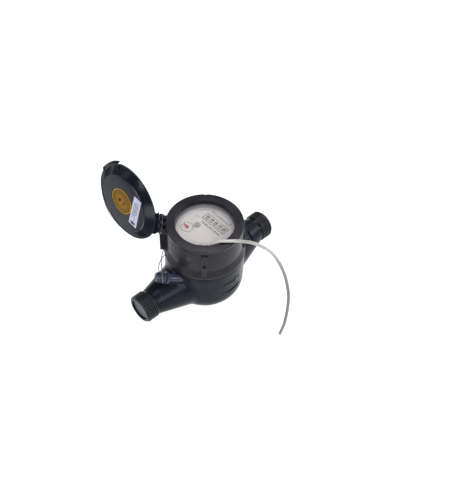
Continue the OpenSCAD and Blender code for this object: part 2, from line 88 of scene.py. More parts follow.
class Sock:
    """A shader socket that Python's operators join with Math nodes."""

    def __init__(self, graph: "Graph", socket: bpy.types.NodeSocket) -> None:
        """Keeps the graph and the socket."""
        self.graph = graph
        self.socket = socket

    def math(self, operation: str, other: "Value") -> "Sock":
        """Adds one Math node.

        Args:
            operation: the node's operation.
            other: the second value.

        Returns:
            The node's result.
        """
        return self.graph.node("ShaderNodeMath", {0: self, 1: other}, operation=operation)

    def __add__(self, other: "Value") -> "Sock":
        """Sum."""
        return self.math("ADD", other)

    __radd__ = __add__

    def __sub__(self, other: "Value") -> "Sock":
        """Difference."""
        return self.math("SUBTRACT", other)

    def __rsub__(self, other: "Value") -> "Sock":
        """Difference from a value on the left."""
        return self.graph.node("ShaderNodeMath", {0: other, 1: self}, operation="SUBTRACT")

    def __mul__(self, other: "Value") -> "Sock":
        """Product."""
        return self.math("MULTIPLY", other)

    __rmul__ = __mul__


Value = Union[Sock, Number, Triple]


class Graph:
    """A material's node tree, built by expressions."""

    def __init__(self, name: str) -> None:
        """Starts an empty material.

        Args:
            name: the finish's name.
        """
        self.material = bpy.data.materials.new(f"look_{name}")
        self.material.use_nodes = True
        self.tree = self.material.node_tree
        self.tree.nodes.clear()

    def node(self, kind: str, inputs: dict | None = None, out: int | str = 0, **settings: object) -> Sock:
        """Adds any node.

        Args:
            kind: the node's type.
            inputs: values or links by socket name or number.
            out: the output that is returned.
            settings: its own settings.

        Returns:
            The chosen output.
        """
        made = self.tree.nodes.new(kind)
        for key, value in settings.items():
            setattr(made, key, value)
        for key, value in (inputs or {}).items():
            socket = made.inputs[key]
            if isinstance(value, Sock):
                self.tree.links.new(value.socket, socket)
            elif isinstance(value, tuple) and socket.type == "RGBA":
                socket.default_value = (*value, 1.0)
            else:
                socket.default_value = value
        return Sock(self, made.outputs[out])

    def place(self, scale: Triple = (1, 1, 1), turn: Triple = (0, 0, 0),
              shift: Triple = (0, 0, 0)) -> Sock:
        """Object coordinates through a Mapping node.

        Args:
            scale: how far the pattern is squeezed.
            turn: its turn in radians.
            shift: its move in metres.

        Returns:
            The mapped coordinates.
        """
        raw = self.node("ShaderNodeTexCoord", out="Object")
        return self.node("ShaderNodeMapping",
                         {"Vector": raw, "Location": shift, "Rotation": turn, "Scale": scale})

    def noise(self, scale: float, detail: float = 3.0, rough: float = 0.55, at: Sock | None = None) -> Sock:
        """A noise value over the object's own coordinates.

        Args:
            scale: how fine it is.
            detail: its octaves.
            rough: how much the finer octaves count.
            at: other coordinates, where they are mapped.

        Returns:
            The value, from 0 to 1.
        """
        where = at or self.node("ShaderNodeTexCoord", out="Object")
        return self.node("ShaderNodeTexNoise",
                         {"Vector": where, "Scale": scale, "Detail": detail, "Roughness": rough})

    def ramp(self, value: Sock, low: float, high: float) -> Sock:
        """A value stretched so that low becomes 0 and high becomes 1."""
        return self.node("ShaderNodeMapRange", {0: value, 1: low, 2: high, 3: 0.0, 4: 1.0})

    def mix(self, share: Value, first: Union[Sock, Triple], second: Union[Sock, Triple]) -> Sock:
        """Two colours mixed by a share."""
        return self.node("ShaderNodeMix", {0: share, 6: first, 7: second}, 2, data_type="RGBA")

    def bump(self, height: Sock, strength: float, distance: float) -> Sock:
        """A normal bent by a height."""
        return self.node("ShaderNodeBump", {"Height": height, "Strength": strength, "Distance": distance})

    def finish(self, **sockets: Value) -> bpy.types.Material:
        """Adds the shader and the output.

        Args:
            sockets: the shader's sockets, with _ for a space.

        Returns:
            The material.
        """
        named = {key.replace("_", " "): value for key, value in sockets.items()}
        shader = self.node("ShaderNodeBsdfPrincipled", named)
        last = self.tree.nodes.new("ShaderNodeOutputMaterial")
        self.tree.links.new(shader.socket, last.inputs["Surface"])
        return self.material


@dataclass(frozen=True)
class Moulding:
    """Moulded plastic: a fine grain, slow flow marks, faint rubbed streaks and a painted highlight on thread
    crests.
    """

    name: str
    colour: Triple
    tone: Triple
    roughness: float = 0.42
    level: float = 0.45
    grain: float = 900.0
    depth: float = 0.12
    rubbed: float = 0.35
    light: Triple = srgb(120, 122, 130)
    crest: float = 0.0
    crest_edge: float = 0.0003
    crest_wear: float = 0.24
    slow_scale: float = 34.0
    flow_scale: float = 60.0
    streak_scale: float = 420.0
    relief: float = 0.0004

    def make(self) -> bpy.types.Material:
        """Builds the nodes.

        Returns:
            The material.
        """
        g = Graph(self.name)
        fine = g.noise(self.grain, 4.0)
        slow = g.noise(self.slow_scale, 5.0, 0.6)
        flow = g.noise(self.flow_scale, 4.0, 0.65, g.place(scale=(0.35, 1.6, 1.0), turn=(0.2, 0.5, 0.6)))
        streak = g.noise(self.streak_scale, 2.0, 0.5, g.place(scale=(1.0, 0.05, 0.3), turn=(0.3, 0.2, 0.9)))
        wear_and_highlight = g.ramp(streak, 0.62, 0.8) * g.ramp(slow, 0.45, 0.7) * self.rubbed
        # Painted highlight: thread crests are mixed towards the light colour, standing in for the light they
        # catch.
        if self.crest:
            from_axis = g.place(scale=(0, 1, 1), shift=(0, 0, -PIPE_Z))
            reach = g.node("ShaderNodeVectorMath", {0: from_axis}, "Value", operation="LENGTH")
            wear_and_highlight = wear_and_highlight + g.ramp(reach, self.crest - self.crest_edge, self.crest) * self.crest_wear
        body = g.mix(g.ramp(slow * 0.6 + flow * 0.4, 0.35, 0.65), self.colour, self.tone)
        colour = g.mix(wear_and_highlight, body, self.light)
        rough = self.roughness + (fine - 0.5) * 0.14 + (slow - 0.5) * 0.2 + wear_and_highlight * 0.15
        normal = g.bump(fine + flow * 0.5, self.depth, self.relief)
        return g.finish(Base_Color=colour, Roughness=rough, Normal=normal, Specular_IOR_Level=self.level)


@dataclass(frozen=True)
class Metal:
    """Drawn or polished metal with fine lines and a little tarnish."""

    name: str
    colour: Triple
    dull: Triple
    roughness: float = 0.28
    lines: Triple = (1.0, 1.0, 0.06)
    line_scale: float = 1500.0
    tarnish_scale: float = 90.0

    def make(self) -> bpy.types.Material:
        """Builds the nodes.

        Returns:
            The material.
        """
        g = Graph(self.name)
        drawn = g.noise(self.line_scale, 3.0, 0.6, g.place(scale=self.lines))
        cloud = g.noise(self.tarnish_scale, 4.0)
        colour = g.mix(g.ramp(cloud, 0.4, 0.75), self.colour, self.dull)
        rough = self.roughness + (drawn - 0.5) * 0.2 + (cloud - 0.5) * 0.16
        normal = g.bump(drawn, 0.08, FINE_RELIEF)
        return g.finish(Base_Color=colour, Metallic=1.0, Roughness=rough, Normal=normal)


@dataclass(frozen=True)
class Film:
    """Printed film, foil or paint: an even colour with a slight cloud and a soft sheen."""

    name: str
    colour: Triple
    tone: Triple
    roughness: float = 0.4
    metallic: float = 0.0
    coat: float = 0.0
    cloud: float = 130.0
    level: float = 0.3
    fibre_scale: float = 2200.0

    def make(self) -> bpy.types.Material:
        """Builds the nodes.

        Returns:
            The material.
        """
        g = Graph(self.name)
        cloud = g.noise(self.cloud, 5.0, 0.6)
        fibre = g.noise(self.fibre_scale, 2.0)
        colour = g.mix(g.ramp(cloud, 0.35, 0.7), self.colour, self.tone)
        rough = self.roughness + (fibre - 0.5) * 0.12 + (cloud - 0.5) * 0.15
        normal = g.bump(fibre, 0.05, FINE_RELIEF)
        return g.finish(Base_Color=colour, Roughness=rough, Metallic=self.metallic, Coat_Weight=self.coat,
                        Coat_Roughness=0.12, Specular_IOR_Level=self.level, Normal=normal)


@dataclass(frozen=True)
class Rubber:
    """Matt rubber or sheathing with a fine tooth, and painted shade that darkens it towards the front."""

    name: str
    colour: Triple
    tone: Triple
    roughness: float = 0.7
    handled: Triple | None = None
    handled_at: Pair = (-0.08, -0.112)
    tooth_scale: float = 1800.0
    cloud_scale: float = 48.0

    def make(self) -> bpy.types.Material:
        """Builds the nodes.

        Returns:
            The material.
        """
        g = Graph(self.name)
        tooth = g.noise(self.tooth_scale, 3.0)
        cloud = g.noise(self.cloud_scale, 4.0)
        colour = g.mix(g.ramp(cloud, 0.35, 0.7), self.colour, self.tone)
        # Painted shade: colour is mixed to a darker grey as Y runs forward, over the cable's hanging end.
        if self.handled:
            outward = g.node("ShaderNodeSeparateXYZ", {0: g.place()}, out="Y")
            colour = g.mix(g.ramp(outward, *self.handled_at), colour, self.handled)
        rough = self.roughness + (tooth - 0.5) * 0.15 + (cloud - 0.5) * 0.1
        normal = g.bump(tooth, 0.1, FINE_RELIEF)
        return g.finish(Base_Color=colour, Roughness=rough, Specular_IOR_Level=0.35, Normal=normal)


@dataclass(frozen=True)
class ClearPane:
    """The clear lens: seen through, with gloss that grows at the edge and faint smears."""

    name: str
    tint: Triple
    index: float = 1.46
    smear_scale: float = 70.0

    def make(self) -> bpy.types.Material:
        """Builds the nodes.

        Returns:
            The material.
        """
        g = Graph(self.name)
        smear = g.noise(self.smear_scale, 5.0, 0.6, g.place(scale=(1.0, 0.3, 1.0), turn=(0, 0, 0.7)))
        gloss = g.node("ShaderNodeFresnel", {"IOR": self.index})
        haze = g.ramp(smear, 0.5, 0.8) * 0.02
        return g.finish(Base_Color=self.tint, Roughness=0.05 + smear * 0.06,
                        Alpha=0.01 + gloss * 0.35 + haze, Specular_IOR_Level=0.6)


class Finishes(Enum):
    """Every finish on the meter."""

    BODY = Moulding("body_plastic", srgb(16, 19, 27), srgb(27, 31, 42), 0.27, 0.1)
    RING = Moulding("ring_plastic", srgb(29, 27, 32), srgb(44, 41, 47), 0.3, 0.19, grain=700.0, depth=0.2)
    LID = Moulding("lid_plastic", srgb(10, 13, 21), srgb(18, 23, 35), 0.22, 0.17)
    # The thread's crests carry a painted highlight from this radius outwards.
    THREAD = Moulding("thread_plastic", srgb(13, 14, 19), srgb(21, 22, 28), 0.28, 0.18, crest=0.0164)
    PLUG = Moulding("plug_plastic", srgb(38, 43, 58), srgb(58, 65, 84), 0.22, 0.34)
    STRAINER = Moulding("strainer_plastic", srgb(76, 81, 92), srgb(91, 97, 108), 0.4, 0.3,
                        light=srgb(130, 135, 144))
    CHAMBER = Moulding("chamber_plastic", srgb(220, 218, 208), srgb(198, 196, 188), 0.45,
                       light=srgb(235, 234, 228))
    WHEEL = Moulding("vane_plastic", srgb(168, 172, 178), srgb(150, 154, 160), 0.42,
                     light=srgb(200, 202, 206))
    GEAR = Moulding("gear_plastic", srgb(228, 227, 222), srgb(208, 208, 204), 0.4,
                    light=srgb(240, 240, 238))
    CUP = Moulding("cup_plastic", srgb(46, 45, 49), srgb(58, 56, 60), 0.3, light=srgb(90, 90, 94))
    BEZEL = Moulding("bezel_plastic", srgb(84, 82, 86), srgb(100, 98, 101), 0.4, light=srgb(190, 188, 190))
    JEWEL = Film("ruby_jewel", srgb(150, 20, 45), srgb(180, 40, 66), 0.12, coat=0.6)
    MAGNET = Metal("sintered_magnet", srgb(66, 66, 70), srgb(44, 44, 48), 0.5, (1, 1, 1))
    BRASS = Metal("plate_brass", srgb(205, 170, 96), srgb(170, 136, 72), 0.3, (0.06, 1, 1))
    STEEL = Metal("drawn_steel", srgb(196, 198, 202), srgb(150, 152, 157), 0.26)
    STAR = Metal("bright_star", srgb(190, 191, 194), srgb(140, 142, 148), 0.24, (1, 0.1, 1))
    WIRE = Metal("seal_wire_metal", srgb(150, 146, 138), srgb(112, 108, 102), 0.5, (1, 1, 1))
    COPPER = Metal("core_copper", srgb(190, 120, 82), srgb(150, 92, 62), 0.3)
    SEAL = Rubber("seal_rubber", srgb(30, 30, 32), srgb(42, 42, 44))
    # The last colour is the painted shade on the cable's hanging end.
    SHEATH = Rubber("cable_sheath", srgb(190, 188, 184), srgb(170, 168, 165), 0.42, srgb(114, 112, 107))
    SENSOR = Film("sensor_resin", srgb(182, 166, 160), srgb(150, 128, 122), 0.35, coat=0.3)
    DIAL = Film("dial_face", srgb(193, 185, 180), srgb(184, 176, 173), 0.5)
    DRUM = Film("drum_face", srgb(226, 224, 222), srgb(214, 212, 210), 0.5)
    INK = Film("black_print", srgb(16, 16, 19), srgb(28, 27, 31), 0.6)
    GREY_INK = Film("grey_print", srgb(70, 68, 75), srgb(90, 88, 95), 0.55)
    RED_INK = Film("red_print", srgb(128, 22, 26), srgb(150, 36, 38), 0.5)
    HAND = Film("hand_red", srgb(150, 2, 18), srgb(124, 2, 14), 0.5)
    FOIL = Film("badge_foil", srgb(116, 83, 0), srgb(98, 68, 0), 0.5, 0.1, 0.0, 80.0, 0.1)
    PALE_FOIL = Film("badge_edge", srgb(154, 114, 8), srgb(132, 95, 4), 0.5, 0.1, 0.0, 80.0, 0.1)
    DARK_FOIL = Film("badge_line", srgb(20, 12, 4), srgb(34, 22, 8), 0.5, 0.1, level=0.1)
    LABEL = Film("label_film", srgb(167, 169, 185), srgb(155, 158, 176), 0.45)
    LENS = ClearPane("lens_clear", (0.92, 0.95, 0.96))

    def material(self) -> bpy.types.Material:
        """Returns the finish's material, made once."""
        return bpy.data.materials.get(f"look_{self.value.name}") or self.value.make()


# Mesh helpers


def add(name: str, data: bpy.types.ID) -> Object:
    """Puts a mesh, curve, lamp or camera in the scene.

    Args:
        name: the object's name.
        data: what it shows.

    Returns:
        The object, at the origin.
    """
    made = bpy.data.objects.new(name, data)
    bpy.context.scene.collection.objects.link(made)
    return made


def baked(piece: Object) -> bpy.types.Mesh:
    """Works out a piece as its modifiers leave it.

    Args:
        piece: the piece.

    Returns:
        A new mesh.
    """
    bpy.context.view_layer.update()
    graph = bpy.context.evaluated_depsgraph_get()
    return bpy.data.meshes.new_from_object(piece.evaluated_get(graph))


def settle(piece: Object) -> None:
    """Makes a piece's modifiers part of its mesh and removes them.

    Args:
        piece: the piece.
    """
    mesh = baked(piece)
    piece.modifiers.clear()
    old, piece.data = piece.data, mesh
    mesh.name = piece.name
    bpy.data.meshes.remove(old)


def shifted(place: Sequence[float]) -> Matrix:
    """A move by millimetres."""
    return Matrix.Translation(Vector(place) * MM)


def lifted(height: float) -> Matrix:
    """A move up by millimetres."""
    return Matrix.Translation((0, 0, height * MM))


def spun(degrees: float, axis: str) -> Matrix:
    """A turn about one axis."""
    return Matrix.Rotation(math.radians(degrees), 4, axis)


def laid(at: Matrix) -> Put:
    """Returns a way to lay millimetres in a frame of their own."""
    return lambda u, v, h: at @ (Vector((u, v, h)) * MM)


def smooth(piece: Object, degrees: float = 34.0) -> Object:
    """Shades a piece smooth.

    Args:
        piece: the piece.
        degrees: edges sharper than this stay sharp.

    Returns:
        The same piece.
    """
    piece.data.shade_smooth()
    piece.data.set_sharp_from_angle(angle=math.radians(degrees))
    return piece


def plain(name: str, build: Build) -> Object:
    """Makes a bmesh an object as it is.

    Args:
        name: the object's name.
        build: the bmesh, which is freed.

    Returns:
        The object.
    """
    mesh = bpy.data.meshes.new(name)
    build.to_mesh(mesh)
    build.free()
    return add(name, mesh)


def from_bmesh(name: str, build: Build, weld: float = 1e-6) -> Object:
    """Welds a bmesh, turns its faces outwards and makes it an object.

    Args:
        name: the object's name.
        build: the bmesh, which is freed.
        weld: corners nearer than this are joined.

    Returns:
        The object.
    """
    bmesh.ops.remove_doubles(build, verts=build.verts, dist=weld)
    bmesh.ops.recalc_face_normals(build, faces=build.faces)
    return plain(name, build)


def lathe(build: Build, profile: Sequence[Pair], around: Matrix, steps: int,
          closed: bool = True) -> None:
    """Adds a turned shape.

    Args:
        build: the bmesh that takes it.
        profile: radius and height pairs in millimetres.
        around: the place of the axis, along its own Z.
        steps: faces round the axis.
        closed: whether the last point joins the first.
    """
    rings = []
    for i in range(steps):
        angle = FULL_TURN * i / steps
        rings.append([build.verts.new(around @ Vector(
            (r * MM * math.cos(angle), r * MM * math.sin(angle), z * MM))) for r, z in profile])
    count = len(profile)
    for i in range(steps):
        here, there = rings[i], rings[(i + 1) % steps]
        for k in range(count if closed else count - 1):
            corners = [here[k], there[k], there[(k + 1) % count], here[(k + 1) % count]]
            if profile[k][0] == 0 and profile[(k + 1) % count][0] == 0:
                continue
            build.faces.new(corners)


def rod(build: Build, radius: float, low: float, high: float, around: Matrix, steps: int) -> None:
    """Adds a solid round bar between two heights."""
    lathe(build, [(0, low), (radius, low), (radius, high), (0, high)], around, steps, closed=False)


def arc(cx: float, cz: float, radius: float, first: float, last: float, count: int = 8) -> list[Pair]:
    """Points of an arc in a profile, angles in degrees."""
    angles = [math.radians(first + (last - first) * i / count) for i in range(count + 1)]
    return [(cx + radius * math.cos(a), cz + radius * math.sin(a)) for a in angles]


def turned(name: str, profile: Sequence[Pair], around: Matrix = UPRIGHT, steps: int = 128) -> Object:
    """Makes a turned piece of its own.

    Args:
        name: the piece's name.
        profile: radius and height pairs in millimetres.
        around: the place of its axis.
        steps: faces round the axis.

    Returns:
        The piece.
    """
    build = bmesh.new()
    lathe(build, profile, around, steps)
    return smooth(from_bmesh(name, build))


def flat_ring(name: str, inner: float, outer: float, low: float, high: float,
              around: Matrix = UPRIGHT, steps: int = 128) -> Object:
    """A thin printed ring between two radii and two heights, in millimetres."""
    return turned(name, [(inner, low), (outer, low), (outer, high), (inner, high)], around, steps)


def tube(build: Build, path: Sequence[Vector], radius: float, sides: int = 10) -> None:
    """Adds a capped round tube along a path.

    Args:
        build: the bmesh that takes it.
        path: its places in metres.
        radius: its radius in metres.
        sides: faces round it.
    """
    rings = []
    turns = [FULL_TURN * k / sides for k in range(sides)]
    side = Vector((0.31, 0.87, 0.38))
    for i, point in enumerate(path):
        along = (path[min(i + 1, len(path) - 1)] - path[max(i - 1, 0)]).normalized()
        side = (side - along * side.dot(along)).normalized()
        other = along.cross(side)
        rings.append([build.verts.new(point + radius * (math.cos(a) * side + math.sin(a) * other))
                      for a in turns])
    for low, high in zip(rings, rings[1:]):
        for k in range(sides):
            build.faces.new([low[k], low[(k + 1) % sides], high[(k + 1) % sides], high[k]])
    build.faces.new(rings[0][::-1])
    build.faces.new(rings[-1])


def spline(points: Sequence[Triple], steps: int) -> list[Vector]:
    """Works out a smooth line through points.

    Args:
        points: the points in millimetres.
        steps: places from one point to the next.

    Returns:
        The line in metres.
    """
    knots = [Vector(p) * MM for p in points]
    line = []
    for i in range(len(knots) - 1):
        a, b = knots[max(i - 1, 0)], knots[i]
        c, d = knots[i + 1], knots[min(i + 2, len(knots) - 1)]
        for k in range(steps):
            t = k / steps
            line.append(0.5 * (2 * b + (c - a) * t + (2 * a - 5 * b + 4 * c - d) * t * t
                               + (3 * b - a - 3 * c + d) * t ** 3))
    return line + [knots[-1]]


def poly_curve(name: str, line: Sequence[Vector]) -> bpy.types.Curve:
    """Makes an open curve.

    Args:
        name: the curve's name.
        line: its places in metres.

    Returns:
        The curve.
    """
    data = bpy.data.curves.new(name, "CURVE")
    data.dimensions = "3D"
    run = data.splines.new("POLY")
    run.points.add(len(line) - 1)
    for point, place in zip(run.points, line):
        point.co = (*place, 1.0)
    return data


def slab(build: Build, outline: Sequence[Pair], low: float, high: float, put: Put) -> None:
    """Adds a flat shape with thickness.

    Args:
        build: the bmesh that takes it.
        outline: corner pairs in millimetres.
        low: height of its underside.
        high: height of its top.
        put: turns the pair and the height into a place in metres.
    """
    under = [build.verts.new(put(u, v, low)) for u, v in outline]
    over = [build.verts.new(put(u, v, high)) for u, v in outline]
    build.faces.new(under[::-1])
    build.faces.new(over)
    for i in range(len(outline)):
        k = (i + 1) % len(outline)
        build.faces.new([under[i], under[k], over[k], over[i]])


def rect(u0: float, v0: float, u1: float, v1: float, parts: int = 1) -> list[Pair]:
    """Outline of a rectangle, its long sides cut into parts."""
    low = [(u0 + (u1 - u0) * i / parts, v0) for i in range(parts + 1)]
    return low + [(u, v1) for u, _ in low[::-1]]


def softened(node: str, name: str, width: float, angle: float = 20.0) -> Object:
    """A welded copy of a CAD node with its sharp edges eased.

    Args:
        node: the CAD node.
        name: the new piece's name.
        width: how far the edges are eased, in millimetres.
        angle: edges flatter than this stay.

    Returns:
        The piece, standing for the node.
    """
    build = bmesh.new()
    build.from_mesh(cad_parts[node].data)
    bmesh.ops.remove_doubles(build, verts=build.verts, dist=CAD_WELD)
    bmesh.ops.dissolve_limit(build, angle_limit=FLAT_ANGLE, verts=build.verts, edges=build.edges)
    piece = plain(name, build)
    ease = piece.modifiers.new("ease", "BEVEL")
    ease.width = width * MM
    ease.segments = 2
    ease.limit_method = "ANGLE"
    ease.angle_limit = math.radians(angle)
    ease.use_clamp_overlap = True
    settle(piece)
    smooth(piece, angle)
    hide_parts(node)
    return piece


# Geometry nodes


class Tree:
    """A geometry node tree built in the script."""

    def __init__(self, name: str, **sizes: Number) -> None:
        """Starts a tree.

        Args:
            name: the tree's name.
            sizes: each input's default, whole for a count.
        """
        self.group = bpy.data.node_groups.new(name, "GeometryNodeTree")
        face = self.group.interface
        face.new_socket("Geometry", in_out="INPUT", socket_type="NodeSocketGeometry")
        for key, value in sizes.items():
            kind = "NodeSocketInt" if isinstance(value, int) else "NodeSocketFloat"
            face.new_socket(key, in_out="INPUT", socket_type=kind).default_value = value
        face.new_socket("Finish", in_out="INPUT", socket_type="NodeSocketMaterial")
        face.new_socket("Geometry", in_out="OUTPUT", socket_type="NodeSocketGeometry")
        self.inlet = self.group.nodes.new("NodeGroupInput")
        self.outlet = self.group.nodes.new("NodeGroupOutput")

    def node(self, kind: str, inputs: dict | None = None, **settings: object) -> bpy.types.Node:
        """Adds a node.

        Args:
            kind: the node's type.
            inputs: a value, a node or an output socket for each socket.
            settings: its own settings.

        Returns:
            The node.
        """
        made = self.group.nodes.new(kind)
        for key, value in settings.items():
            setattr(made, key, value)
        for key, value in (inputs or {}).items():
            if isinstance(value, bpy.types.Node):
                value = value.outputs[0]
            if isinstance(value, bpy.types.NodeSocket):
                self.group.links.new(value, made.inputs[key])
            else:
                made.inputs[key].default_value = value
        return made

    def size(self, key: str) -> bpy.types.NodeSocket:
        """The output of a named input."""
        return self.inlet.outputs[key]

    def sum(self, operation: str, first: object, second: object = 0.0) -> bpy.types.Node:
        """A Math node."""
        return self.node("ShaderNodeMath", {0: first, 1: second}, operation=operation)

    def close(self, last: bpy.types.Node) -> "Tree":
        """Ends the tree in real geometry with its finish.

        Args:
            last: the node that gives the geometry.

        Returns:
            The tree itself.
        """
        real = self.node("GeometryNodeRealizeInstances", {"Geometry": last})
        done = self.node("GeometryNodeSetMaterial", {"Geometry": real, "Material": self.size("Finish")})
        self.group.links.new(done.outputs[0], self.outlet.inputs[0])
        return self

    def run(self, name: str, finish: Finishes, start: bpy.types.ID | None = None, **sizes: Number) -> Object:
        """Makes a piece.

        Args:
            name: the piece's name.
            finish: its finish.
            start: the mesh or curve that the tree works on.
            sizes: the named inputs, in metres or radians.

        Returns:
            The piece as a plain mesh.
        """
        holder = add(name, start or bpy.data.meshes.new(name))
        nodes = holder.modifiers.new("shape", "NODES")
        nodes.node_group = self.group
        wanted = {**sizes, "Finish": finish.material()}
        for item in self.group.interface.items_tree:
            if item.in_out == "INPUT" and item.name in wanted:
                nodes[item.identifier] = wanted[item.name]
        mesh = baked(holder)
        bpy.data.objects.remove(holder)
        return add(name, mesh)


def move(piece: Object, place: Matrix) -> Object:
    """Puts a piece's place in its mesh."""
    piece.data.transform(place)
    return piece


class Trees:
    """The geometry node trees that the sub-assemblies share."""

    def __init__(self) -> None:
        """Builds the trees."""
        self.screw = self.screw_tree()
        self.bars = self.bar_tree()
        self.strands = self.strand_tree()

    def bar_ring(self, name: str, finish: Finishes, count: int, radius: float, first: float, step: float,
                 bar: Triple) -> Object:
        """Makes bars round an arc.

        Args:
            name: the piece's name.
            finish: its finish.
            count: how many bars.
            radius: the arc's radius in millimetres.
            first: angle of the first bar in radians.
            step: angle from one bar to the next.
            bar: how long, wide and thick a bar is, in millimetres.

        Returns:
            The bars as one piece.
        """
        long, wide, thick = bar
        return self.bars.run(name, finish, Count=count, Radius=radius * MM, First=first, Step=step,
                             Long=long * MM, Wide=wide * MM, Thick=thick * MM)

    @staticmethod
    def screw_tree() -> Tree:
        """Builds a pointed ridge wound round Z.

        Returns:
            The tree.
        """
        t = Tree("screw_ridge", Radius=0.0153, Turns=6.0, Height=0.014, Ridge=0.0023, Width=0.0019)
        coil = t.node("GeometryNodeCurveSpiral",
                      {"Resolution": 72, "Rotations": t.size("Turns"), "Height": t.size("Height"),
                       "Start Radius": t.size("Radius"), "End Radius": t.size("Radius")})
        upright = t.node("GeometryNodeSetCurveNormal", {"Curve": coil}, mode="Z_UP")
        ridge = t.node("GeometryNodeCurvePrimitiveCircle", {"Resolution": 8, "Radius": 1.0})
        reach = t.node("ShaderNodeCombineXYZ", {"X": t.size("Ridge"), "Y": t.size("Width"), "Z": 1.0})
        shaped = t.node("GeometryNodeTransform", {"Geometry": ridge, "Scale": reach})
        wound = t.node("GeometryNodeCurveToMesh",
                       {"Curve": upright, "Profile Curve": shaped, "Fill Caps": True})
        return t.close(t.node("GeometryNodeSetShadeSmooth", {"Geometry": wound}))

    @staticmethod
    def bar_tree() -> Tree:
        """Builds bars set round an arc about Z, each pointing outwards.

        Returns:
            The tree.
        """
        t = Tree("bar_arc", Count=12, Radius=0.01, First=0.0, Step=0.1,
                 Long=0.001, Wide=0.0003, Thick=0.00006)
        spots = t.node("GeometryNodePoints", {"Count": t.size("Count")})
        index = t.node("GeometryNodeInputIndex")
        angle = t.sum("ADD", t.size("First"), t.sum("MULTIPLY", index, t.size("Step")))
        out = t.node("ShaderNodeCombineXYZ",
                     {axis: t.sum("MULTIPLY", t.sum(wave, angle), t.size("Radius"))
                      for axis, wave in (("X", "COSINE"), ("Y", "SINE"))})
        placed = t.node("GeometryNodeSetPosition", {"Geometry": spots, "Position": out})
        size = t.node("ShaderNodeCombineXYZ",
                      {"X": t.size("Long"), "Y": t.size("Wide"), "Z": t.size("Thick")})
        bar = t.node("GeometryNodeMeshCube", {"Size": size})
        turn = t.node("ShaderNodeCombineXYZ", {"Z": angle})
        return t.close(t.node("GeometryNodeInstanceOnPoints",
                              {"Points": placed, "Instance": bar, "Rotation": turn}))

    @staticmethod
    def strand_tree() -> Tree:
        """Builds two round strands twisted about a curve.

        Returns:
            The tree.
        """
        t = Tree("twisted_pair", Offset=0.00025, Strand=0.00025, Lay=0.004)
        even = t.node("GeometryNodeResampleCurve", {"Curve": t.size("Geometry"), "Count": 260})
        along = t.node("GeometryNodeSplineParameter")
        turn = t.sum("DIVIDE", t.sum("MULTIPLY", along.outputs["Length"], FULL_TURN), t.size("Lay"))
        normal = t.node("GeometryNodeInputNormal")
        ahead = t.node("GeometryNodeInputTangent")
        across = t.node("ShaderNodeVectorMath", {0: ahead, 1: normal}, operation="CROSS_PRODUCT")
        both = t.node("GeometryNodeJoinGeometry")
        ring = t.node("GeometryNodeCurvePrimitiveCircle", {"Resolution": 7, "Radius": t.size("Strand")})
        for phase in (0.0, math.pi):
            here = t.sum("ADD", turn, phase)
            first, second = (
                t.node("ShaderNodeVectorMath", operation="SCALE", inputs={
                    0: way, "Scale": t.sum("MULTIPLY", t.sum(wave, here), t.size("Offset"))})
                for way, wave in ((normal, "COSINE"), (across, "SINE")))
            shift = t.node("ShaderNodeVectorMath", {0: first, 1: second}, operation="ADD")
            strand = t.node("GeometryNodeSetPosition", {"Geometry": even, "Offset": shift})
            wire = t.node("GeometryNodeCurveToMesh",
                          {"Curve": strand, "Profile Curve": ring, "Fill Caps": True})
            t.group.links.new(wire.outputs[0], both.inputs[0])
        return t.close(t.node("GeometryNodeSetShadeSmooth", {"Geometry": both}))


# Sub-assemblies


class Rider(Enum):
    """The bodies that pieces ride on, apart from the number wheels."""

    BASE = "base"
    LID = "lid_body"


def dress(piece: Object, finish: Finishes, body: Rider | str = Rider.BASE) -> Object:
    """Gives a piece its finish and its body, and reports it.

    Args:
        piece: the piece.
        finish: its finish.
        body: the body that it rides on.

    Returns:
        The same piece.
    """
    piece.data.materials.clear()
    piece.data.materials.append(finish.material())
    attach(piece, body.value if isinstance(body, Rider) else body)
    LOG.info("%s rides on %s", piece.name, body)
    return piece


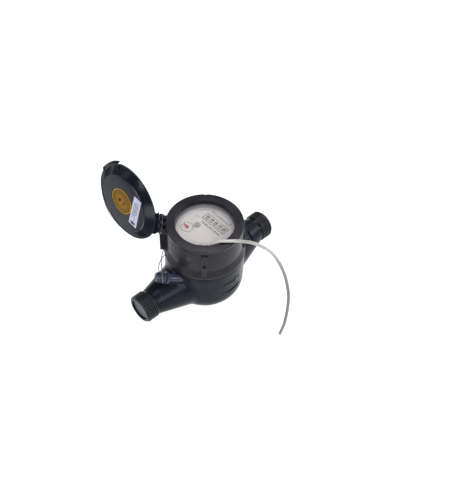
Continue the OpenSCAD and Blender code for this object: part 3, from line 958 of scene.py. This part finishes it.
@dataclass
class Studio:
    """Floor, light and the camera at the photograph's angle."""

    azimuth: float = -43.0
    elevation: float = 51.5
    roll: float = 0.8
    distance: float = 0.8
    target: Triple = (0.0, 0.0, PIPE_Z)
    pixel: float = 0.00114
    image: tuple[int, int] = (450, 500)
    seen_at: Pair = (204.35, 264.2)
    floor_size: float = 30.0
    floor_greys: Pair = (0.44, 0.46)
    glow: float = 0.8
    sky: Triple = (0.82, 0.9, 1.0)
    sky_power: float = 0.28
    aim: Triple = (0, 0, 0.06)
    boxes: tuple[tuple[str, Triple, Pair, float], ...] = (
        ("top_box", (0.2, 0.3, 1.5), (1.1, 0.8), 12.0),
        ("left_box", (-1.25, -0.15, 0.8), (0.3, 0.8), 5.0),
        ("right_box", (1.25, -0.05, 0.5), (1.3, 0.4), 9.0),
        ("front_box", (-0.75, -0.9, 1.3), (0.35, 0.25), 2.0),
        ("fill_box", (1.0, -0.74, 0.85), (0.4, 0.4), 7.0),
        ("neck_box", (-0.32, -1.25, 0.9), (0.7, 0.6), 9.0))

    def camera(self) -> None:
        """Makes the camera."""
        az, el, roll = (math.radians(a) for a in (self.azimuth, self.elevation, self.roll))
        right = Vector((math.cos(az), math.sin(az), 0))
        ahead = Vector((-math.sin(az) * math.cos(el), math.cos(az) * math.cos(el), -math.sin(el)))
        up = right.cross(ahead)
        right, up = (right * math.cos(roll) + up * math.sin(roll),
                     up * math.cos(roll) - right * math.sin(roll))
        wide, tall = self.image
        data = bpy.data.cameras.new("photo_camera")
        data.sensor_fit = "HORIZONTAL"
        data.lens = data.sensor_width * self.distance / (wide * self.pixel)
        data.shift_x = (wide / 2 - self.seen_at[0]) / wide
        data.shift_y = (self.seen_at[1] - tall / 2) / wide
        data.clip_start = 0.01
        eye = Vector(self.target) - ahead * self.distance
        turn = Matrix((right, up, -ahead)).transposed().to_4x4()
        made = add("photo_camera", data)
        made.matrix_world = Matrix.Translation(eye) @ turn
        bpy.context.scene.camera = made

    def floor(self) -> None:
        """Makes the pale floor."""
        build = bmesh.new()
        bmesh.ops.create_grid(build, x_segments=1, y_segments=1, size=self.floor_size)
        floor = from_bmesh("floor", build)
        g = Graph("floor_white")
        cloud = g.noise(3.0, 2.0)
        first, second = ((grey, grey, grey) for grey in self.floor_greys)
        floor.data.materials.append(g.finish(
            Base_Color=g.mix(cloud, first, second), Roughness=0.9, Specular_IOR_Level=0.1,
            Emission_Color=(1.0, 1.0, 1.0), Emission_Strength=self.glow))

    def light(self) -> None:
        """Adds the soft boxes and the pale surround."""
        for name, place, size, power in self.boxes:
            data = bpy.data.lights.new(name, "AREA")
            data.shape = "RECTANGLE"
            data.size, data.size_y = size
            data.energy = power
            lamp = add(name, data)
            lamp.location = place
            lamp.rotation_euler = (Vector(self.aim) - Vector(place)).to_track_quat("-Z", "Y").to_euler()
        world = bpy.data.worlds.new("surround")
        world.use_nodes = True
        back = world.node_tree.nodes["Background"]
        back.inputs["Color"].default_value = (*self.sky, 1.0)
        back.inputs["Strength"].default_value = self.sky_power
        bpy.context.scene.world = world
        bpy.context.scene.view_settings.view_transform = "Standard"

    def build(self) -> None:
        """Makes the camera, the floor and the light."""
        self.camera()
        self.floor()
        self.light()


@dataclass
class PulseLead:
    """The pulse cable and the cores at its cut end."""

    diameter: float = 3.4
    core_side: float = 0.75
    core_r: float = 0.38
    core_l: float = 1.15
    route: tuple[Triple, ...] = (
        (-16.58, -23.645, 102.1), (-15.629, -24.531, 102.1), (-14.678, -25.418, 102.1), (-10, -28.4, 106.8),
        (-6.3, -32.4, 109), (-1.3, -36.6, 108.6), (3.9, -41.3, 109), (6.7, -48.6, 112.5), (8.1, -65.5, 122.5),
        (10.6, -86.3, 125), (12.6, -102.2, 109), (13.7, -111.7, 83), (14, -114.1, 58), (13.9, -113.6, 27),
        (13.5, -110.2, 3))

    def build(self) -> None:
        """Makes the cable as one open curve, and its cut cores."""
        line = spline(self.route, 3)
        data = poly_curve("pulse_lead", line)
        data.bevel_depth = self.diameter / 2 * MM
        data.bevel_resolution = 5
        data.use_fill_caps = True
        lead = add("pulse_lead", data)
        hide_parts("pulse_cable")
        dress(lead, Finishes.SHEATH)
        end, back = line[-1], line[-2]
        ahead = (end - back).normalized()
        build = bmesh.new()
        for side in (-self.core_side, self.core_side):
            core = end + Vector((side * MM, 0, 0)) - ahead * MM
            tube(build, [core, core + ahead * self.core_l * MM], self.core_r * MM)
        cores = dress(smooth(from_bmesh("lead_cores", build)), Finishes.COPPER)
        length = sum((b - a).length for a, b in zip(line, line[1:]))


@dataclass
class Casting:
    """The moulded body: bowl, flared necks, threaded ends and the regulator boss."""

    half: float = 95.25
    pipe: float = 35.0
    thread_r: float = 16.45
    thread_l: float = 15.5
    thread_depth: float = 1.25
    pitch: float = 2.209
    port_r: float = 12.2
    bowl_r: float = 44.5
    round_r: float = 24.0
    shoulder: float = 62.5
    chamfer: float = 1.2
    collar_r: float = 38.7
    collar: float = 74.0
    neck_r: Pair = (14.8, 30.1)
    neck_in: float = 25.0
    neck_past: float = 0.5
    neck_dip: float = 3.8
    voxel: float = 1.05
    joint_reach: float = 7.0
    joint_top: float = 2.5
    chamber: Triple = (36.0, 10.0, 80.0)
    way_r: float = 9.0
    way_in: float = 30.0
    way_past: Pair = (2, 0.4)
    way_dips: tuple[tuple[int, float], ...] = ((-1, 17.0), (1, 12.0))
    pocket_at: Triple = (58.5, -13, 50)
    pocket_turn: float = 38.0
    pocket_half: Triple = (3, 6, 3)
    raised: Pair = (-0.8, 0.55)
    boss_at: Triple = (-44.9, -7.9, 56.6)
    boss_az: float = 153.0
    boss_rise: float = 19.7
    boss_core: Triple = (4.6, -14, 12)
    boss_wall: tuple[Pair, ...] = ((2.65, -3), (4.75, -3), (4.75, 11.4), (4.4, 12), (2.65, 12))

    @property
    def start(self) -> float:
        """How far from the middle the threads start."""
        return self.half - self.thread_l

    def boss(self) -> Matrix:
        """The place of the regulator's axis, along its own Z."""
        return shifted(self.boss_at) @ spun(self.boss_az, "Z") @ spun(90 - self.boss_rise, "Y")

    def end(self, side: int) -> Matrix:
        """The place of one pipe end's axis, pointing outwards."""
        return lifted(self.pipe) @ spun(90 * side, "Y")

    def inward(self, side: int, out: float, up: float, dip: float) -> Matrix:
        """The place of an axis that runs from one end inwards and down.

        Args:
            side: -1 for the inlet, 1 for the outlet.
            out: how far past the threads' start it begins.
            up: how far above the pipe's axis it begins.
            dip: its slope in radians.

        Returns:
            The place, with the axis along its own Z.
        """
        return (Matrix.Translation((side * (self.start + out) * MM, 0, (self.pipe + up) * MM))
                @ Matrix.Rotation(-side * (math.pi / 2 + dip), 4, "Y"))

    def shell(self) -> Object:
        """Makes the bowl and necks as one skin with soft joints.

        Returns:
            The skin, not yet hollow.
        """
        build = bmesh.new()
        flat = self.bowl_r - self.round_r
        bowl = [(0, 0), (flat, 0), *arc(flat, self.round_r, self.round_r, -90, 0, 16),
                (self.bowl_r, self.shoulder - self.chamfer), (self.bowl_r - self.chamfer, self.shoulder),
                (self.collar_r, self.shoulder), (self.collar_r, self.collar), (0, self.collar)]
        lathe(build, bowl, UPRIGHT, 160, closed=False)
        run = self.start - self.neck_in
        tilt = math.atan(self.neck_dip / run)
        length = run / math.cos(tilt)
        neck = [(0, 0), (self.neck_r[0], 0), (self.neck_r[1], length), (0, length)]
        for side in (-1, 1):
            lathe(build, neck, self.inward(side, self.neck_past, 0, tilt), 96, closed=False)
        rod(build, *self.boss_core, self.boss(), 32)
        skin = from_bmesh("bowl_casting", build, SKIN_WELD)
        net = skin.modifiers.new("net", "REMESH")
        net.mode = "VOXEL"
        net.voxel_size = self.voxel * MM
        settle(skin)
        self.ease(skin, tilt)
        return skin

    def ease(self, skin: Object, tilt: float) -> None:
        """Rounds the joint between the bowl and the necks, and the rest a little.

        Args:
            skin: the meshed body.
            tilt: slope of the necks.
        """
        slope = (self.neck_r[1] - self.neck_r[0]) / (self.start - self.neck_in)
        edge = self.shoulder - self.joint_top
        build = bmesh.new()
        build.from_mesh(skin.data)
        joint = []
        for vert in build.verts:
            x, y, z = vert.co / MM
            axis = self.pipe - max(0.0, self.start - abs(x)) * math.tan(tilt)
            off_neck = abs(math.hypot(y, z - axis) - (self.neck_r[0] + (self.start - abs(x)) * slope))
            off_bowl = abs(math.hypot(x, y) - self.bowl_r)
            if max(off_neck, off_bowl) < self.joint_reach and z < edge:
                joint.append(vert)
        top = [v for v in build.verts if v.co.z > edge * MM]
        rest = [v for v in build.verts if v.co.z <= edge * MM]
        for verts, factor, rounds in ((joint, 0.5, 22), (rest, 0.5, 3), (top, 0.3, 1)):
            for _ in range(rounds):
                bmesh.ops.smooth_vert(build, verts=verts, factor=factor,
                                      use_axis_x=True, use_axis_y=True, use_axis_z=True)
        build.to_mesh(skin.data)
        build.free()

    def hollow(self, skin: Object) -> None:
        """Cuts the chamber, the water ways and the side pocket out.

        Args:
            skin: the meshed body.
        """
        build = bmesh.new()
        rod(build, *self.chamber, UPRIGHT, 96)
        for side, dip in self.way_dips:
            way = self.inward(side, *self.way_past, math.radians(dip))
            rod(build, self.way_r, 0, self.start - self.way_in, way, 40)
        pocket = shifted(self.pocket_at) @ spun(self.pocket_turn, "X")
        u, v, h = self.pocket_half
        slab(build, rect(-u, -v, u, v), -h, h, laid(pocket))
        cutter = from_bmesh("cutter", build, SKIN_WELD)
        cut = skin.modifiers.new("cut", "BOOLEAN")
        cut.operation = "DIFFERENCE"
        cut.solver = "EXACT"
        cut.use_self = True
        cut.object = cutter
        settle(skin)
        bpy.data.objects.remove(cutter)

    def sleeve(self, side: int, name: str, trees: Trees) -> None:
        """Makes one threaded end.

        Args:
            side: -1 for the inlet, 1 for the outlet.
            name: first word of the pieces' names.
            trees: the geometry node trees.
        """
        low, high = self.start, self.half
        root = self.thread_r - self.thread_depth
        profile = [(self.port_r, low - 1), (root - 0.6, low - 1), (root, low + 0.2), (root, high - 1.1),
                   (root - 0.7, high - 0.15), (root - 0.9, high), (self.port_r + 0.5, high),
                   (self.port_r, high - 0.5)]
        dress(turned(f"{name}_sleeve", profile, self.end(side), 112), Finishes.THREAD)
        turns = (self.thread_l - 1.9) / self.pitch
        ridge = trees.screw.run(f"{name}_thread", Finishes.THREAD, Radius=(root + 0.1) * MM, Turns=turns,
                                Height=turns * self.pitch * MM, Ridge=(self.thread_r - root - 0.1) * MM,
                                Width=0.8 * MM)
        move(ridge, self.end(side) @ lifted(low + 0.95))
        dress(ridge, Finishes.THREAD)

    def on_bowl(self, azimuth: float) -> Put:
        """Finds a way to lay a flat shape on the bowl's side.

        Args:
            azimuth: the shape's middle in degrees.

        Returns:
            A function that turns along, up and proud into a place.
        """
        def put(u: float, v: float, h: float) -> Vector:
            """Place of a point that is u along, v up and h proud."""
            angle, reach = math.radians(azimuth) + u / self.bowl_r, self.bowl_r + h
            return Vector((reach * math.cos(angle), reach * math.sin(angle), v)) * MM
        return put

    def marks(self) -> None:
        """Raises the flow arrow and its line on both sides of the bowl."""
        build = bmesh.new()
        for azimuth, way in ((-88.0, 1), (92.0, -1)):
            put = self.on_bowl(azimuth)
            for u0, v0, u1, v1 in ((-12, 43.4, 4, 46.6), (-13, 30.6, 13, 32)):
                slab(build, rect(way * u0, v0, way * u1, v1, 8), *self.raised, put)
            slab(build, [(way * 3.9, 40.2), (way * 12, 45), (way * 3.9, 49.8)], *self.raised, put)
        dress(smooth(from_bmesh("flow_arrows", build)), Finishes.BODY)

    def build(self, trees: Trees) -> None:
        """Makes and dresses the body.

        Args:
            trees: the geometry node trees.
        """
        skin = self.shell()
        self.hollow(skin)
        smooth(skin, 38.0)
        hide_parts("meter_body")
        dress(skin, Finishes.BODY)
        band = [(42.4, 60.0), (self.bowl_r + 0.1, 60.0),
                *arc(self.bowl_r - 0.9, 61.7, 1.0, 0, 90, 6), (42.4, 62.7)]
        dress(turned("shoulder_band", band), Finishes.BODY)
        self.sleeve(-1, "inlet", trees)
        self.sleeve(1, "outlet", trees)
        boss = turned("regulator_boss", self.boss_wall, self.boss(), 48)
        dress(boss, Finishes.PLUG)
        self.marks()


@dataclass
class Regulator:
    """The regulator plug and the wire that seals it to the head ring."""

    ribs: int = 22
    ribs_r: float = 5.55
    ribs_up: float = 22.6
    rib: Triple = (0.7, 0.7, 4.6)
    wire: float = 1.0
    lay: float = 4.2
    route: tuple[Triple, ...] = (
        (-61.6, 2.9, 63.7), (-59.3, 7.4, 63.7), (-55, 13.5, 63.4), (-47, 20, 62), (-40, 23, 61.8),
        (-37.4, 21.6, 64.5), (-37.4, 21.6, 69.5), (-39.5, 22.4, 73), (-47, 17, 73.5), (-57, 5.5, 72.5),
        (-63.5, -3, 70.5), (-66.6, -7.2, 66.2), (-65.6, -5.1, 63.7), (-63.4, -0.7, 63.7))

    def build(self, casting: Casting, trees: Trees) -> None:
        """Makes the plug, its ribs and the twisted wire.

        Args:
            casting: the body that carries the plug.
            trees: the geometry node trees.
        """
        plug = softened("regulator_plug", "plug_moulding", 0.3)
        dress(plug, Finishes.PLUG)
        ribs = trees.bar_ring("plug_ribs", Finishes.PLUG, self.ribs, self.ribs_r, 0.1,
                              FULL_TURN / self.ribs, self.rib)
        move(ribs, casting.boss() @ lifted(self.ribs_up))
        dress(ribs, Finishes.PLUG)
        line = poly_curve("wire_line", spline(self.route, 6))
        wire = trees.strands.run("twisted_wire", Finishes.WIRE, line, Offset=self.wire * 0.29 * MM,
                                 Strand=self.wire * 0.28 * MM, Lay=self.lay * MM)
        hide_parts("seal_wire")
        dress(wire, Finishes.WIRE)


@dataclass
class Head:
    """The screwed ring with its hinge half and the two aprons beside the hinge's stop."""

    wall: float = 40.6
    apron_x: float = HINGE_X + 1.9
    apron_y: Pair = (4.9, 7.5)
    apron_z: Pair = (89.0, 99.8)

    def build(self) -> None:
        """Makes the ring and its aprons."""
        ring = softened("head_ring", "ring_moulding", 0.3)
        dress(ring, Finishes.RING)
        near, far = self.apron_y
        build = bmesh.new()
        for side in (-1, 1):
            slab(build, rect(self.wall, side * near, self.apron_x, side * far), *self.apron_z,
                 laid(spun(HINGE_AZ, "Z")))
        dress(from_bmesh("hinge_aprons", build), Finishes.RING)


@dataclass
class Lid:
    """The lid standing open, with the foil badge and the label on its inside."""

    hinge_z: float = 103.0
    open_deg: float = 126.5
    floor: float = 114.5
    foil: float = 0.25
    paper: float = 0.5
    badge_at: Pair = (-3.8, 0.1)
    dots: int = 26
    label_at: Pair = (16.8, -0.4)
    label_turn: float = 6.5

    def put(self) -> Matrix:
        """Turns the closed lid's frame, in metres, into the open one."""
        hinge = Vector((HINGE_X, 0, self.hinge_z))
        return spun(HINGE_AZ, "Z") @ shifted(hinge) @ spun(self.open_deg, "Y") @ shifted(-hinge)

    def badge(self, trees: Trees) -> None:
        """Prints rings, dots and strokes on the foil.

        Args:
            trees: the geometry node trees.
        """
        face = self.floor - self.foil
        low, high = (face + h for h in FOIL_PRINT)
        at = self.put() @ shifted((*self.badge_at, 0))
        lay = laid(at)
        for name, inner, outer, finish in (("badge_border", 13.2, 14.45, Finishes.PALE_FOIL),
                                           ("badge_band", 12.2, 13.2, Finishes.DARK_FOIL),
                                           ("badge_inner_line", 9.1, 9.4, Finishes.DARK_FOIL)):
            dress(flat_ring(name, inner, outer, low, high, at, 72), finish, Rider.LID)
        dots = trees.bar_ring("badge_dots", Finishes.DARK_FOIL, self.dots, 10.7, 0.0, FULL_TURN / self.dots,
                              (1.1, 0.7, 0.16))
        dress(move(dots, at @ lifted(face - 0.01)), Finishes.DARK_FOIL, Rider.LID)
        build = bmesh.new()
        for u, v, w, h in ((-2.4, -5.4, 4.4, 3.0), (-5.4, 0.4, 7.4, 0.5), (-4.2, 2.2, 7.4, 0.5),
                           (-3.0, 4.0, 6.4, 0.5)):
            far = v + 0.35 * w
            slab(build, [(u, v), (u + w, far), (u + w, far + h), (u, v + h)], face - 0.07, high,
                 lambda a, b, z: lay(b, -a, z))
        dress(from_bmesh("badge_strokes", build), Finishes.DARK_FOIL, Rider.LID)

    def label(self) -> None:
        """Grey bars printed on the label."""
        face = self.floor - self.paper
        low, high = (face + h for h in FOIL_PRINT)
        lay = laid(self.put() @ shifted((*self.label_at, 0)) @ spun(self.label_turn, "Z"))
        grey, dark = bmesh.new(), bmesh.new()
        for i, end in enumerate((11, 7, 14, 4)):
            u = -3.3 + 1.75 * i
            slab(grey, rect(u, -13, u + 0.75, end), low, high, lay)
        for i in range(9):
            v = 0.4 * i
            slab(dark, rect(-3.4, 15.2 + v - 0.1 * (i % 3), 3.2 - (i % 2), 15.42 + v), low, high, lay)
        dress(from_bmesh("label_lines", grey), Finishes.GREY_INK, Rider.LID)
        dress(from_bmesh("label_block", dark), Finishes.INK, Rider.LID)

    def build(self, trees: Trees) -> None:
        """Makes the lid, its print and the two pips on its inside.

        Args:
            trees: the geometry node trees.
        """
        lid = softened("lid", "lid_moulding", 0.35)
        dress(lid, Finishes.LID, Rider.LID)
        self.badge(trees)
        self.label()
        build = bmesh.new()
        pip = [(0, -0.4), (0.8, -0.4), (1.0, -0.2), (1.0, 1.4), (0, 1.4)]
        for place in ((-35.1, 16.2, 107.9), (-12.3, 29.8, 113.5)):
            lathe(build, pip, self.put() @ shifted(place), 20, closed=False)
        dress(smooth(from_bmesh("lid_pips", build)), Finishes.RING, Rider.LID)


@dataclass
class Dial:
    """The printed face, its windows and the number wheels under them."""

    top: float = 95.0
    axle_x: float = 13.7
    axle_z: float = 86.9
    drum_r: float = 6.5
    pitch: float = 6.2
    middle: float = -1.8
    figure: float = 3.9
    hand_at: Pair = (-11.861, 15.719)
    edge_at: Pair = (0, 0)
    edge_r: Pair = (28.9, 29.2)
    counter_u: Pair = (-15.1, 18.3)
    counter_v: Pair = (9.0, 18.4)
    rule: float = 0.7
    dashes: tuple[Pair, ...] = ((-10.7, 1.3), (-8.2, 1.2), (-5.4, 2.0), (-2.2, 1.2), (0.6, 1.6), (3.4, 1.3),
                                (6.0, 1.2), (8.6, 2.0), (12.0, 1.3), (14.6, 1.5))

    def flat(self, u: float, v: float, h: float) -> Vector:
        """A place on the dial: u to the right and v up, as it is read."""
        return Vector((v, -u, self.top + h)) * MM

    def print_bars(self, name: str, boxes: Iterable[Sequence[float]], finish: Finishes) -> None:
        """Prints rectangles on the dial.

        Args:
            name: the piece's name.
            boxes: two corners each, as right, up, right, up.
            finish: the ink.
        """
        build = bmesh.new()
        for box in boxes:
            slab(build, rect(*box), *PRINT, self.flat)
        dress(from_bmesh(name, build), finish)

    def digit(self, build: Build, figure: int, put: Put) -> None:
        """Adds a figure as flat print.

        Args:
            build: the bmesh that takes it.
            figure: 0 to 9.
            put: turns its own right, up and height into a place.
        """
        curve = bpy.data.curves.new("figure", "FONT")
        curve.body = str(figure)
        curve.size = self.figure / 0.7
        curve.align_x = "CENTER"
        curve.resolution_u = 3
        curve.offset = 0.055 * self.figure
        holder = add("figure", curve)
        mesh = baked(holder)
        bpy.data.objects.remove(holder)
        verts = [build.verts.new(put(v.co.x, v.co.y - self.figure / 2, 0.0)) for v in mesh.vertices]
        for face in mesh.polygons:
            build.faces.new([verts[i] for i in face.vertices])
        bpy.data.meshes.remove(mesh)

    def on_drum(self, y: float, turn: float) -> Put:
        """Returns a way to lay a figure on a number wheel.

        Args:
            y: the wheel's place along its axle.
            turn: the figure's place round the wheel, in radians.

        Returns:
            A function that turns right, up and height into a place.
        """
        radius = self.drum_r + 0.03

        def put(u: float, v: float, h: float) -> Vector:
            """Place of a point that is u to the right and v up, on the drum's skin."""
            across, up = (radius * wave(turn + v / self.drum_r) for wave in (math.sin, math.cos))
            return Vector((self.axle_x + across, y - u, self.axle_z + up)) * MM
        return put

    def drums(self) -> None:
        """Prints the ten figures round each number wheel."""
        for wheel in range(1, 6):
            y = self.middle + (3 - wheel) * self.pitch
            build = bmesh.new()
            for figure in range(10):
                self.digit(build, figure, self.on_drum(y, -FULL_TURN * figure / 10))
            finish, slot = (Finishes.RED_INK, "digit_red") if wheel > 3 else (Finishes.INK, "digit_black")
            dress(plain(f"figures_{wheel}", build), finish, f"digit_{wheel}")

    def scales(self, trees: Trees) -> None:
        """Prints the small scale round the hand and the fine arc along the edge.

        Args:
            trees: the geometry node trees.
        """
        lift = (self.top + 0.03) * MM
        for name, count, radius, first, step, long, wide, at in (
                ("hand_scale", 10, 6.5, 0.0, FULL_TURN / 10, 1.8, 0.6, self.hand_at),
                ("hand_scale_fine", 50, 6.85, 0.0, FULL_TURN / 50, 0.9, 0.28, self.hand_at),
                ("edge_scale", 46, 29.7, -0.75, 0.036, 1.0, 0.24, self.edge_at),
                ("edge_scale_long", 10, 29.4, -0.75, 0.18, 1.6, 0.34, self.edge_at)):
            ring = trees.bar_ring(name, Finishes.INK, count, radius, first, step, (long, wide, 0.06))
            move(ring, Matrix.Translation((at[0] * MM, at[1] * MM, lift)))
            dress(ring, Finishes.INK)

    def build(self, trees: Trees) -> None:
        """Prints the dial and the drums.

        Args:
            trees: the geometry node trees.
        """
        left, right = self.counter_u
        low, high = self.counter_v
        line, top = self.rule, high + self.rule
        sides = ((left, low, right, low + line), (left, high, right, top),
                 (left, low, left + line, top), (right - line, low, right, top))
        self.print_bars("counter_frame", sides, Finishes.INK)
        self.print_bars("unit_dashes", [(u, 4.3, u + w, 6.7) for u, w in self.dashes], Finishes.INK)
        self.print_bars("upper_ticks", [(-13 + 2.6 * i, 22.2, -11.9 + 2.6 * i, 24.6 + 0.9 * (i % 5 == 0))
                                        for i in range(11)], Finishes.INK)
        small = ((-21.6, 6.4, -20.8, 8.4), (-20.3, 6.4, -18.9, 7), (-17.6, 6.4, -16.9, 8.2))
        self.print_bars("small_marks", small, Finishes.GREY_INK)
        edge = flat_ring("edge_line", *self.edge_r, *(self.top + h for h in PRINT))
        dress(edge, Finishes.GREY_INK)
        self.scales(trees)
        self.drums()


CAD_FINISHES: dict[Finishes, str] = {
    Finishes.STRAINER: "inlet_strainer",
    Finishes.CHAMBER: "jet_basket chamber_cover",
    Finishes.STEEL: "pivot_pin wheel_axle transfer_axle hinge_pin",
    Finishes.WHEEL: "vane_wheel",
    Finishes.JEWEL: "pivot_jewel",
    Finishes.MAGNET: "wheel_magnet driven_magnet",
    Finishes.CUP: "pressure_plate register_cup",
    Finishes.SEAL: "plate_gasket lens_seal plug_washer",
    Finishes.BRASS: "drive_pinion lower_plate upper_plate",
    Finishes.GEAR: "star_gear hand_gear worm_gear transfer_pinion_1 transfer_pinion_2 transfer_pinion_3"
                   " transfer_pinion_4",
    Finishes.STAR: "flow_star",
    Finishes.HAND: "red_hand",
    Finishes.DIAL: "dial_plate",
    Finishes.BEZEL: "dial_bezel",
    Finishes.LENS: "lens",
    Finishes.FOIL: "lid_badge",
    Finishes.LABEL: "lid_label",
    Finishes.SENSOR: "pulse_sensor",
    Finishes.DRUM: "number_wheel_1 number_wheel_2 number_wheel_3 number_wheel_4 number_wheel_5",
}


def dress_nodes() -> None:
    """Gives every CAD node that stays its finish."""
    for finish, names in CAD_FINISHES.items():
        for name in names.split():
            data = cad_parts[name].data
            data.materials.clear()
            data.materials.append(finish.material())
            LOG.info("%s finished as %s", name, finish.name.lower())


def main() -> None:
    """Builds the studio, the lead and the sub-assemblies in order."""
    logging.basicConfig(level=logging.INFO, format="%(message)s")
    Studio().build()
    PulseLead().build()
    trees = Trees()
    casting = Casting()
    casting.build(trees)
    Regulator().build(casting, trees)
    Head().build()
    Lid().build(trees)
    Dial().build(trees)
    dress_nodes()


if __name__ == "__main__":
    main()
